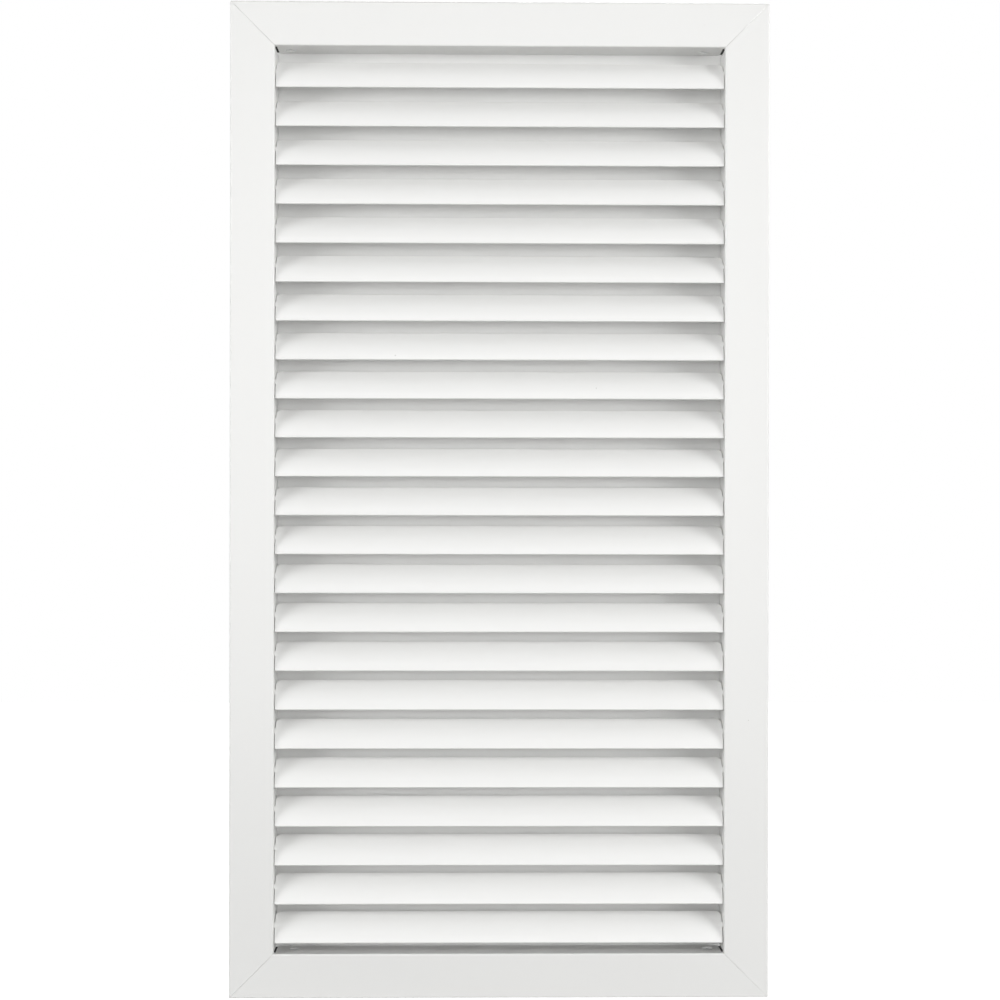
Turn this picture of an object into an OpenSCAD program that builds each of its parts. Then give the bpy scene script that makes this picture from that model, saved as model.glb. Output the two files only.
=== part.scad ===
// Return air grille with fixed blades, in a mitred frame with a short neck.
// A tab at each end of a blade goes through a slot in the side neck.
// X runs to the right, Z runs up, and the border's front faces towards -Y.
// The origin is the centre of the opening, in the plane of the wall that the border lies on.

/* [Opening] */
// Clear width between the side necks
opening_w = 294; // [200:1:600]
// Clear height between the top and bottom necks
opening_h = 592; // [300:1:800]

/* [Frame] */
// Width of the flat border that shows on the wall
border_w = 29; // [24:0.5:45]
// Thickness of the border plate
border_t = 1.4; // [1.2:0.1:2]
// Thickness of the return lip round the border's outer edge
return_t = 1.4; // [1:0.1:2.5]
// Radius of the border's front edges, inside and outside
edge_r = 1.1; // [0.3:0.1:1.1]
// Depth of the neck, from the border's front to its rear edge
neck_depth = 26; // [24:0.5:50]
// Thickness of the neck wall
neck_t = 1.4; // [1.2:0.1:2.5]
// Gap left in each mitre
mitre_gap = 0.1; // [0.05:0.01:0.3]
// Length by which each end of the neck stops short of the opening's corner, behind the wall's face
neck_relief = 1; // [0.3:0.1:3]

/* [Corner keys] */
// Width of the key plate
key_w = 11; // [8:0.5:15]
// Thickness of the key plate
key_t = 1.9; // [1.5:0.1:3]
// Length of each leg, along the border
key_leg = 42; // [30:1:70]
// Clearance round the key in its channel
key_fit = 0.1; // [0.05:0.01:0.2]
// Radius of the key's outer corner and leg ends
key_r = 2; // [0.5:0.5:3]
// Thickness of the rib on the channel's outer side
rib_t = 1.4; // [1:0.1:2]
// Width of each toe that holds the key down
toe_w = 2.5; // [1:0.1:3]
// Thickness of each toe
toe_t = 1; // [0.8:0.1:2]

/* [Blades] */
// Spacing of the blades
blade_pitch = 25.4; // [23:0.1:40]
// Thickness of the blade
blade_t = 1.2; // [0.8:0.1:1.6]
// Outer radius of the curved front of the blade
nose_r = 22; // [20:0.5:24]
// Slope of the blade's face at its lip, from upright
lip_angle = 9; // [4:1:12]
// Slope of the flat rear part of the blade, from upright
plate_angle = 54; // [48:1:57]
// Length of the flat rear part
plate_l = 5.8; // [3:0.1:7]
// Height of the rounded bead along the lip above the blade's faces
bead_proud = 0.15; // [0.1:0.05:0.4]
// Distance of the lips behind the border's front
lip_set = 1.5; // [0.5:0.5:3]
// Space between the top neck and the crest of the first blade
top_space = 8.2; // [8:0.1:20]
// Least space between the last lip and the bottom neck
bottom_space = 4; // [2:0.5:10]
// Gap between a blade's end and the side neck
blade_end_gap = 0.5; // [0.3:0.1:0.8]
// Height of the cut at each rear corner of a blade
corner_cut_h = 1.6; // [0.5:0.1:3]
// Length of the cut at each rear corner of a blade
corner_cut_l = 2.6; // [0.5:0.1:4]

/* [Blade tabs] */
// Height of the tab at each end of a blade
tab_h = 2.8; // [2:0.1:3]
// Distance of the tabs behind the wall's face
tab_set = 0.6; // [0.5:0.1:1]
// Length by which the tabs stand out of the neck's far face
tab_proud = 0.8; // [0.3:0.1:1.5]
// Clearance round a tab in its slot
slot_fit = 0.12; // [0.08:0.01:0.2]
// Length by which a slot runs on above its tab
slot_over = 0.7; // [0.2:0.1:1]

/* [Fixing holes] */
// Diameter of the fixing holes in the top and bottom necks
fixing_d = 7; // [3:0.1:7]
// Distance of the fixing holes from the side necks, on average
fixing_inset = 11; // [8:0.5:60]
// Distance by which each pair of holes is off the middle: to the left at the top, to the right at the bottom
fixing_shift = 2; // [0:0.5:3]
// Distance of the fixing holes behind the border's front
fixing_set = 17; // [12:0.5:19]

/* [Hidden] */
$fn = 48;
// Overlap that lets a cut run past the face that it opens
past = 1;
// Distance from the wall to the border's front, which the key channel sets
stand = border_t + key_t + 2 * key_fit + toe_t;
// Channel for the corner keys, measured outwards from the opening's edge
key_u = neck_t + key_fit;
rib_u = neck_t + key_w + 2 * key_fit;
toe_v = stand - toe_t;
// Middle of a blade's thickness on its curved front, and the height of the whole blade
nose_mid_r = nose_r - blade_t / 2;
bead_r = blade_t / 2 + bead_proud;
lip_foot = nose_mid_r * sin(lip_angle) - bead_r;
blade_h = nose_r * sin(plate_angle) + plate_l * cos(plate_angle) - lip_foot;
blade_l = opening_w - 2 * blade_end_gap;
// Blades that fit under each other, and the height of the first one's lip
stack_h = opening_h - top_space - blade_h - bottom_space;
blade_count = floor(stack_h / blade_pitch) + 1;
first_lip_z = opening_h / 2 - top_space - blade_h;
// Lowest point of the tabs, where the blade's front face comes clear of the wall's face
tab_turn = acos(cos(lip_angle) - (stand + tab_set - lip_set) / nose_r);
tab_foot = nose_r * sin(tab_turn) - lip_foot;
tab_top = tab_foot + tab_h;
tab_end = opening_w / 2 + neck_t + tab_proud;
fixing_x = opening_w / 2 - fixing_inset;

coat = [0.91, 0.91, 0.90];
bare = [0.74, 0.75, 0.77];

blade_names = [for (i = [1 : blade_count]) str("blade_", i < 10 ? "0" : "", i)];

// Height of the lip of blade i, counted from 0 at the top
function lip_z(i) = first_lip_z - i * blade_pitch;

// Sharp corner at the origin, less a quarter circle of radius r
module corner_waste(r) {
    difference() {
        translate([-past, -past]) square(r + past);
        translate([r, r]) circle(r);
    }
}

// Section of the frame: x outwards from the opening's edge, y back from the border's front
module frame_section() {
    difference() {
        union() {
            square([border_w, border_t]);
            square([neck_t, neck_depth]);
            translate([border_w - return_t, 0]) square([return_t, stand]);
            translate([rib_u, 0]) square([rib_t, stand]);
            translate([rib_u - toe_w, toe_v]) square([toe_w + rib_t, toe_t]);
            translate([0, toe_v]) square([neck_t + toe_w, toe_t]);
        }
        corner_waste(edge_r);
        translate([border_w, 0]) mirror([1, 0]) corner_waste(edge_r);
    }
}

// Length of frame section along Z, with its border to the right of the opening's edge
module mitred_bar(opening_l) {
    end = opening_l / 2 - mitre_gap / sqrt(2);
    intersection() {
        difference() {
            linear_extrude(height = opening_l + 2 * border_w, center = true) frame_section();
            for (side = [0, 1])
                mirror([0, 0, side]) translate([-past, stand, opening_l / 2 - neck_relief])
                    cube([neck_t + 2 * past, neck_depth, neck_relief + border_w]);
        }
        rotate([-90, 0, 0]) translate([0, 0, -past]) linear_extrude(height = neck_depth + 2 * past)
            polygon([
                [0, -end],
                [border_w, -end - border_w],
                [border_w + past, -end - border_w - past],
                [border_w + past, end + border_w + past],
                [0, end]
            ]);
    }
}

module side_bar() {
    difference() {
        translate([opening_w / 2, -stand, 0]) mitred_bar(opening_h);
        for (i = [0 : blade_count - 1])
            tab_slot(lip_z(i));
    }
}

module end_bar() {
    difference() {
        translate([0, -stand, opening_h / 2]) rotate([0, -90, 0]) mitred_bar(opening_w);
        for (side = [-1, 1])
            translate([side * fixing_x - fixing_shift, fixing_set - stand, opening_h / 2 - past])
                cylinder(h = neck_t + 2 * past, d = fixing_d);
    }
}

module frame_top() {
    color(coat) end_bar();
}

// The same bar as at the top, turned round
module frame_bottom() {
    color(coat) rotate([0, 180, 0]) end_bar();
}

module frame_right() {
    color(coat) side_bar();
}

module frame_left() {
    color(coat) mirror([1, 0, 0]) side_bar();
}

// Flat strip with round corners at both ends of its far side
module key_leg_shape() {
    difference() {
        square([key_leg, key_w]);
        translate([key_leg, 0]) mirror([1, 0]) corner_waste(key_r);
        translate([key_leg, key_w]) mirror([1, 0]) mirror([0, 1]) corner_waste(key_r);
    }
}

// L-shaped plate in the border's channel, at the top right corner
module corner_key() {
    corner_x = opening_w / 2 + key_u + key_w;
    corner_z = opening_h / 2 + key_u + key_w;
    translate([corner_x, border_t + key_fit - stand, corner_z])
        rotate([-90, 0, 0]) linear_extrude(height = key_t) difference() {
            union() {
                mirror([1, 0]) key_leg_shape();
                mirror([1, 0]) mirror([1, -1]) key_leg_shape();
            }
            mirror([1, 0]) corner_waste(key_r);
        }
}

module corner_key_top_right() {
    color(bare) corner_key();
}

module corner_key_top_left() {
    color(bare) mirror([1, 0, 0]) corner_key();
}

module corner_key_bottom_right() {
    color(bare) mirror([0, 0, 1]) corner_key();
}

module corner_key_bottom_left() {
    color(bare) mirror([0, 0, 1]) mirror([1, 0, 0]) corner_key();
}

// Disc of radius r, carried on straight past the angle at which the flat part of the blade begins
module nose_disc(r) {
    circle(r, $fn = 96);
    rotate(-plate_angle) translate([-r, 0]) square([r, plate_l + blade_t]);
}

// Section of a blade, or of its slot when grown: x back from the lip's face, y up from its foot
module blade_section(grow) {
    reach = 2 * nose_r;
    crest = plate_l + grow;
    crest_x = crest * sin(plate_angle);
    crest_y = crest * cos(plate_angle);
    translate([nose_r * cos(lip_angle), -lip_foot]) {
        intersection() {
            difference() {
                nose_disc(nose_r + grow);
                nose_disc(nose_r - blade_t - grow);
            }
            polygon([
                [0, 0],
                [-reach * cos(lip_angle), reach * sin(lip_angle)],
                [crest_x - reach * cos(plate_angle), crest_y + reach * sin(plate_angle)],
                [crest_x, crest_y]
            ]);
        }
        rotate(-lip_angle) translate([-nose_mid_r, 0]) circle(bead_r + grow);
    }
}

// Blade section drawn out along X, length long, with its lip at height z
module blade_prism(z, length, grow) {
    translate([0, lip_set - stand, z])
        rotate([90, 0, 90]) linear_extrude(height = length, center = true) blade_section(grow);
}

// Slot for the tab of the blade whose lip is at height z
module tab_slot(z) {
    intersection() {
        blade_prism(z, 2 * (tab_end + past), slot_fit);
        translate([0, -stand, z + tab_foot - slot_fit])
            cube([tab_end + past, neck_depth, tab_h + slot_over + slot_fit]);
    }
}

// What is cut away at the right end of a blade to leave its tab and its cut rear corner
module end_waste(z) {
    shoulder = blade_l / 2;
    beyond = tab_end + past;
    translate([0, neck_depth - stand, z]) rotate([90, 0, 0]) linear_extrude(height = neck_depth) {
        polygon([
            [shoulder - corner_cut_l, blade_h + past],
            [shoulder - corner_cut_l, blade_h],
            [shoulder, blade_h - corner_cut_h],
            [shoulder, tab_top],
            [beyond, tab_top],
            [beyond, blade_h + past]
        ]);
        translate([shoulder, -past]) square([beyond - shoulder, tab_foot + past]);
    }
}

module blade(i) {
    color(coat) difference() {
        blade_prism(lip_z(i), 2 * tab_end, 0);
        end_waste(lip_z(i));
        mirror([1, 0, 0]) end_waste(lip_z(i));
    }
}

frame_top();
frame_bottom();
frame_left();
frame_right();
corner_key_top_left();
corner_key_top_right();
corner_key_bottom_left();
corner_key_bottom_right();
for (i = [0 : blade_count - 1])
    blade(i);
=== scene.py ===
from math import radians

import bpy
from mathutils import Euler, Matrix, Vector


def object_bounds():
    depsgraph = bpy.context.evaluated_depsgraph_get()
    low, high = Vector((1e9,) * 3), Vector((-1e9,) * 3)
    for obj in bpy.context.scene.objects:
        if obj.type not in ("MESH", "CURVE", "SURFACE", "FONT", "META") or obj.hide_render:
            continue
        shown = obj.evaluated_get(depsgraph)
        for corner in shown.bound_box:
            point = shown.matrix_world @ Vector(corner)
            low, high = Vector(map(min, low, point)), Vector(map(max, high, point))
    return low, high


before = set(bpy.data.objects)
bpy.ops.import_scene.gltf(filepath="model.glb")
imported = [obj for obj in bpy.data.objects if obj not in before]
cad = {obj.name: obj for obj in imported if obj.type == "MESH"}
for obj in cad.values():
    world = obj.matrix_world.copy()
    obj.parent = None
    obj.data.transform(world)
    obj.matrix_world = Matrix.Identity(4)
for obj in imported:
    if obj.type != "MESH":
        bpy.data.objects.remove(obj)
cad_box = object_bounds()


# Border and neck: four lengths of one extruded aluminium section, cut to 45 degrees at both ends.
# Each is coated in satin white powder before assembly, so the coat rounds its edges and the cut ends show
# as a hairline at every corner.
def new_finish(name):
    """A material for one finish, its nodes, its links and its surface shader."""
    finish = bpy.data.materials.new(name)
    finish.use_nodes = True
    return finish, finish.node_tree.nodes, finish.node_tree.links, finish.node_tree.nodes["Principled BSDF"]


def new_effect(name, inputs, outputs):
    """A node group for one surface effect, with its named sockets, its nodes and its links."""
    effect = bpy.data.node_groups.new(name, "ShaderNodeTree")
    for label, kind, value in inputs:
        socket = effect.interface.new_socket(label, in_out="INPUT", socket_type=kind)
        socket.default_value = value
    for label, kind in outputs:
        effect.interface.new_socket(label, in_out="OUTPUT", socket_type=kind)
    given = effect.nodes.new("NodeGroupInput")
    result = effect.nodes.new("NodeGroupOutput")
    return effect, effect.nodes, effect.links, given, result


def noise(nodes, links, place, size, detail, rough):
    """Noise whose lumps are size metres apart, from 0 to 1."""
    lumps = nodes.new("ShaderNodeTexNoise")
    lumps.inputs["Scale"].default_value = 1 / size
    lumps.inputs["Detail"].default_value = detail
    lumps.inputs["Roughness"].default_value = rough
    links.new(place, lumps.inputs["Vector"])
    return lumps.outputs["Fac"]


def spread(nodes, links, value, low, high):
    """A value that runs from 0 to 1, moved to run from low to high."""
    ramp = nodes.new("ShaderNodeMapRange")
    ramp.inputs["To Min"].default_value = low
    ramp.inputs["To Max"].default_value = high
    links.new(value, ramp.inputs["Value"])
    return ramp.outputs["Result"]


def calc(nodes, links, operation, first, second):
    """One sum on two values, either of which may be a plain number."""
    sum_node = nodes.new("ShaderNodeMath")
    sum_node.operation = operation
    for socket, value in zip(sum_node.inputs, (first, second)):
        if isinstance(value, (int, float)):
            socket.default_value = value
        else:
            links.new(value, socket)
    return sum_node.outputs["Value"]


# Powder coat: a slight orange peel with a finer grain on it, clouding that can hardly be seen, and a few nibs
# of dust that were caught while the coat was soft.
powder, nodes, links, given, result = new_effect(
    "powder coat",
    [
        ("Colour", "NodeSocketColor", (0.8, 0.8, 0.785, 1)),
        ("Nib colour", "NodeSocketColor", (0.42, 0.41, 0.39, 1)),
        ("Clouding", "NodeSocketFloat", 0.012),
        ("Roughness", "NodeSocketFloat", 0.3),
    ],
    [("Colour", "NodeSocketColor"), ("Roughness", "NodeSocketFloat"), ("Height", "NodeSocketFloat")],
)
place = nodes.new("ShaderNodeTexCoord").outputs["Object"]
peel = noise(nodes, links, place, 0.0021, 1, 0.4)
grain = noise(nodes, links, place, 0.0005, 2, 0.6)
clouds = noise(nodes, links, place, 0.085, 3, 0.55)
nibs = nodes.new("ShaderNodeTexVoronoi")
nibs.inputs["Scale"].default_value = 1 / 0.026
links.new(place, nibs.inputs["Vector"])
nib = nodes.new("ShaderNodeMapRange")
nib.inputs["From Min"].default_value = 0.008
nib.inputs["From Max"].default_value = 0.016
nib.inputs["To Min"].default_value = 1
nib.inputs["To Max"].default_value = 0
links.new(nibs.outputs["Distance"], nib.inputs["Value"])
shade = calc(nodes, links, "MULTIPLY", spread(nodes, links, clouds, -1, 1), given.outputs["Clouding"])
tint = nodes.new("ShaderNodeHueSaturation")
links.new(given.outputs["Colour"], tint.inputs["Color"])
links.new(calc(nodes, links, "ADD", shade, 1), tint.inputs["Value"])
speckled = nodes.new("ShaderNodeMix")
speckled.data_type = "RGBA"
links.new(nib.outputs["Result"], speckled.inputs["Factor"])
links.new(tint.outputs["Color"], speckled.inputs[6])
links.new(given.outputs["Nib colour"], speckled.inputs[7])
links.new(speckled.outputs[2], result.inputs["Colour"])
sheen = calc(nodes, links, "ADD", given.outputs["Roughness"], spread(nodes, links, grain, -0.04, 0.04))
links.new(sheen, result.inputs["Roughness"])
relief = calc(nodes, links, "ADD", peel, calc(nodes, links, "MULTIPLY", grain, 0.22))
links.new(calc(nodes, links, "ADD", relief, nib.outputs["Result"]), result.inputs["Height"])


def powder_coat(name, colour, clouding, roughness):
    """Satin white powder coat of one colour and gloss."""
    coat, nodes, links, surface = new_finish(name)
    effect = nodes.new("ShaderNodeGroup")
    effect.node_tree = powder
    effect.inputs["Colour"].default_value = (*colour, 1)
    effect.inputs["Clouding"].default_value = clouding
    effect.inputs["Roughness"].default_value = roughness
    bump = nodes.new("ShaderNodeBump")
    bump.inputs["Strength"].default_value = 0.5
    bump.inputs["Distance"].default_value = 0.000012
    links.new(effect.outputs["Height"], bump.inputs["Height"])
    links.new(effect.outputs["Colour"], surface.inputs["Base Color"])
    links.new(effect.outputs["Roughness"], surface.inputs["Roughness"])
    links.new(bump.outputs["Normal"], surface.inputs["Normal"])
    return coat


def round_edges(part, radius):
    """Takes the sharpness off a part's edges, as the thickness of a coat or a tumbled finish does."""
    joined = part.modifiers.new("joined faces", "WELD")
    joined.merge_threshold = 0.000002
    flats = part.modifiers.new("whole flats", "DECIMATE")
    flats.decimate_type = "DISSOLVE"
    flats.angle_limit = radians(0.3)
    edges = part.modifiers.new("rounded edges", "BEVEL")
    edges.width = radius
    edges.segments = 2
    edges.limit_method = "ANGLE"
    edges.angle_limit = radians(35)
    edges.use_clamp_overlap = True
    shading = part.modifiers.new("even shading", "WEIGHTED_NORMAL")
    shading.keep_sharp = False


# The border's coat is the blades' white powder painted a little darker, as painted shade that dims the lamp-lit
# border; on the grille both are the same white.
frame_coat_with_painted_shade = powder_coat("frame coat with painted shade", (0.740, 0.740, 0.727), 0.01, 0.3)
for side in ("top", "bottom", "left", "right"):
    bar = cad["frame_" + side]
    bar.data.materials[0] = frame_coat_with_painted_shade
    round_edges(bar, 0.00012)


# Corner keys: L-shaped plates stamped from aluminium sheet, left bare. They lie in the border's channel and
# hold the mitres together, and show only from behind.
mill, nodes, links, given, result = new_effect(
    "mill finish",
    [
        ("Colour", "NodeSocketColor", (0.72, 0.73, 0.75, 1)),
        ("Roughness", "NodeSocketFloat", 0.35),
    ],
    [("Colour", "NodeSocketColor"), ("Roughness", "NodeSocketFloat"), ("Height", "NodeSocketFloat")],
)
place = nodes.new("ShaderNodeTexCoord").outputs["Object"]
drawn = nodes.new("ShaderNodeMapping")
drawn.inputs["Scale"].default_value = (0.03, 1, 1)
links.new(place, drawn.inputs["Vector"])
lines = noise(nodes, links, drawn.outputs["Vector"], 0.00035, 3, 0.6)
stains = noise(nodes, links, place, 0.012, 3, 0.5)
tint = nodes.new("ShaderNodeHueSaturation")
links.new(given.outputs["Colour"], tint.inputs["Color"])
links.new(spread(nodes, links, stains, 0.86, 1.06), tint.inputs["Value"])
links.new(tint.outputs["Color"], result.inputs["Colour"])
line_wear = spread(nodes, links, lines, -0.09, 0.09)
stain_wear = spread(nodes, links, stains, -0.07, 0.1)
worn = calc(nodes, links, "ADD", line_wear, stain_wear)
links.new(calc(nodes, links, "ADD", given.outputs["Roughness"], worn), result.inputs["Roughness"])
links.new(lines, result.inputs["Height"])


def bare_aluminium(name, colour, roughness):
    """Uncoated aluminium with the lines of its rolling or drawing."""
    metal, nodes, links, surface = new_finish(name)
    effect = nodes.new("ShaderNodeGroup")
    effect.node_tree = mill
    effect.inputs["Colour"].default_value = (*colour, 1)
    effect.inputs["Roughness"].default_value = roughness
    bump = nodes.new("ShaderNodeBump")
    bump.inputs["Strength"].default_value = 0.4
    bump.inputs["Distance"].default_value = 0.00001
    links.new(effect.outputs["Height"], bump.inputs["Height"])
    links.new(effect.outputs["Colour"], surface.inputs["Base Color"])
    links.new(effect.outputs["Roughness"], surface.inputs["Roughness"])
    links.new(bump.outputs["Normal"], surface.inputs["Normal"])
    surface.inputs["Metallic"].default_value = 1
    return metal


key_metal = bare_aluminium("key metal", (0.72, 0.73, 0.75), 0.38)
for corner in ("top_left", "top_right", "bottom_left", "bottom_right"):
    key = cad["corner_key_" + corner]
    key.data.materials[0] = key_metal
    round_edges(key, 0.00015)


# Blades: 23 fixed lengths of one curved extrusion with a beaded lip, coated after they are cut. The tab at
# each end goes through a slot in the side neck.
blade_coat = powder_coat("blade coat", (0.799, 0.799, 0.787), 0.01, 0.3)
for name, blade in cad.items():
    if name.startswith("blade_") and name[-2:].isdigit():
        blade.data.materials[0] = blade_coat
        round_edges(blade, 0.0001)


# Surface behind the grille: a pale matt board against the rear edge of the neck, which closes the opening as
# a table top does. The dark strip round it stands for the deep shade behind the border, which the fixing holes
# and the open mitres of the neck look into. Neither can be seen from behind.
def flat_sheet(name, corners, faces):
    """A flat sheet that isn't part of the grille."""
    mesh = bpy.data.meshes.new(name)
    mesh.from_pydata(corners, [], faces)
    sheet = bpy.data.objects.new(name, mesh)
    bpy.context.scene.collection.objects.link(sheet)
    return sheet


def rectangle(half_x, half_z, y):
    """The corners of an upright rectangle round the middle of the opening."""
    return [(-half_x, y, -half_z), (half_x, y, -half_z), (half_x, y, half_z), (-half_x, y, half_z)]


def one_sided_paint(name, colour, roughness):
    """Matt paint, slightly uneven, that is clear when it is looked at from behind."""
    paint, nodes, links, surface = new_finish(name)
    place = nodes.new("ShaderNodeTexCoord").outputs["Object"]
    uneven = nodes.new("ShaderNodeHueSaturation")
    uneven.inputs["Color"].default_value = (*colour, 1)
    patches = noise(nodes, links, place, 0.03, 4, 0.5)
    links.new(spread(nodes, links, patches, 0.98, 1.02), uneven.inputs["Value"])
    links.new(uneven.outputs["Color"], surface.inputs["Base Color"])
    surface.inputs["Roughness"].default_value = roughness
    either = nodes.new("ShaderNodeMixShader")
    links.new(nodes.new("ShaderNodeNewGeometry").outputs["Backfacing"], either.inputs["Fac"])
    links.new(surface.outputs["BSDF"], either.inputs[1])
    links.new(nodes.new("ShaderNodeBsdfTransparent").outputs["BSDF"], either.inputs[2])
    links.new(either.outputs["Shader"], nodes["Material Output"].inputs["Surface"])
    return paint


board_y = 0.0218
neck_x, neck_z = 0.1477, 0.2967
shade_w = 0.0058
board = flat_sheet(
    "board",
    rectangle(neck_x, neck_z, board_y) + rectangle(neck_x + shade_w, neck_z + shade_w, board_y),
    [(0, 1, 2, 3), (4, 5, 1, 0), (5, 6, 2, 1), (6, 7, 3, 2), (7, 4, 0, 3)],
)
board.data.materials.append(one_sided_paint("board paint", (0.8, 0.8, 0.79), 0.8))
board.data.materials.append(one_sided_paint("shade behind the border", (0.03, 0.03, 0.03), 0.9))
for strip in board.data.polygons[1:]:
    strip.material_index = 1


# Floor and background: a plain white floor under the grille and a plain white studio round it. The camera
# sees both as white, and the floor keeps the grille's shadow.
reach = 2
floor_z = cad_box[0][2] + 0.0003
floor_corners = [(-reach, -reach), (reach, -reach), (reach, reach), (-reach, reach)]
floor = flat_sheet("floor", [(x, y, floor_z) for x, y in floor_corners], [(0, 1, 2, 3)])


def seen_directly(nodes, links):
    """1 for rays from the camera and for mirror and glass rays, and 0 for the rays that light the grille."""
    ray = nodes.new("ShaderNodeLightPath").outputs
    shown = calc(nodes, links, "MAXIMUM", ray["Is Camera Ray"], ray["Is Glossy Ray"])
    return calc(nodes, links, "MAXIMUM", shown, ray["Is Transmission Ray"])


floor_paint, nodes, links, surface = new_finish("floor paint")
surface.inputs["Base Color"].default_value = (0.3, 0.3, 0.3, 1)
surface.inputs["Roughness"].default_value = 0.9
surface.inputs["Specular IOR Level"].default_value = 0
surface.inputs["Emission Color"].default_value = (1, 1, 1, 1)
links.new(calc(nodes, links, "MULTIPLY", seen_directly(nodes, links), 0.88), surface.inputs["Emission Strength"])
floor.data.materials.append(floor_paint)

studio = bpy.data.worlds.new("studio")
bpy.context.scene.world = studio
studio.use_nodes = True
nodes, links = studio.node_tree.nodes, studio.node_tree.links
walls = nodes["Background"]
walls.inputs["Color"].default_value = (1, 1, 1, 1)
ambient = 0.05
links.new(spread(nodes, links, seen_directly(nodes, links), ambient, 1), walls.inputs["Strength"])


# Light: a long soft window high in front of the grille, a wide soft light from the front and one from each
# side, and one from behind, which shows the back.
def soft_lamp(name, place, width, height, power):
    """A soft lamp, width by height metres, that faces the grille."""
    lamp = bpy.data.objects.new(name, bpy.data.lights.new(name, "AREA"))
    lamp.data.shape = "RECTANGLE"
    lamp.data.size = width
    lamp.data.size_y = height
    lamp.data.energy = power
    lamp.location = place
    lamp.rotation_euler = (-Vector(place)).to_track_quat("-Z", "Y").to_euler()
    bpy.context.scene.collection.objects.link(lamp)
    return lamp


soft_lamp("high window", (0, -2.75, 1.86), 2.4, 0.4, 9)
soft_lamp("front lamp", (0, -3.2, 0.2), 1.6, 1.6, 26)
soft_lamp("left lamp", (-2.8, -1.8, 0.5), 1.6, 1.6, 70)
soft_lamp("right lamp", (2.8, -1.8, 0.5), 1.6, 1.6, 81)
soft_lamp("rear lamp", (0.8, 2.8, 1.4), 1.6, 1.6, 90)


# Camera: in front of the grille at the distance and height of the photograph. It is turned by one degree,
# which puts the grille a little off the middle of the picture, as it is there.
lens = bpy.data.cameras.new("camera")
lens.sensor_width = 36
lens.lens = 77.0
lens.clip_end = 30
camera = bpy.data.objects.new("camera", lens)
camera.location = (-0.02335, -1.4, 0.00154)
camera.rotation_euler = Euler((radians(90 - 0.0596), radians(-0.098), radians(-0.9656)))
bpy.context.scene.collection.objects.link(camera)
bpy.context.scene.camera = camera
bpy.context.scene.view_settings.view_transform = "Standard"
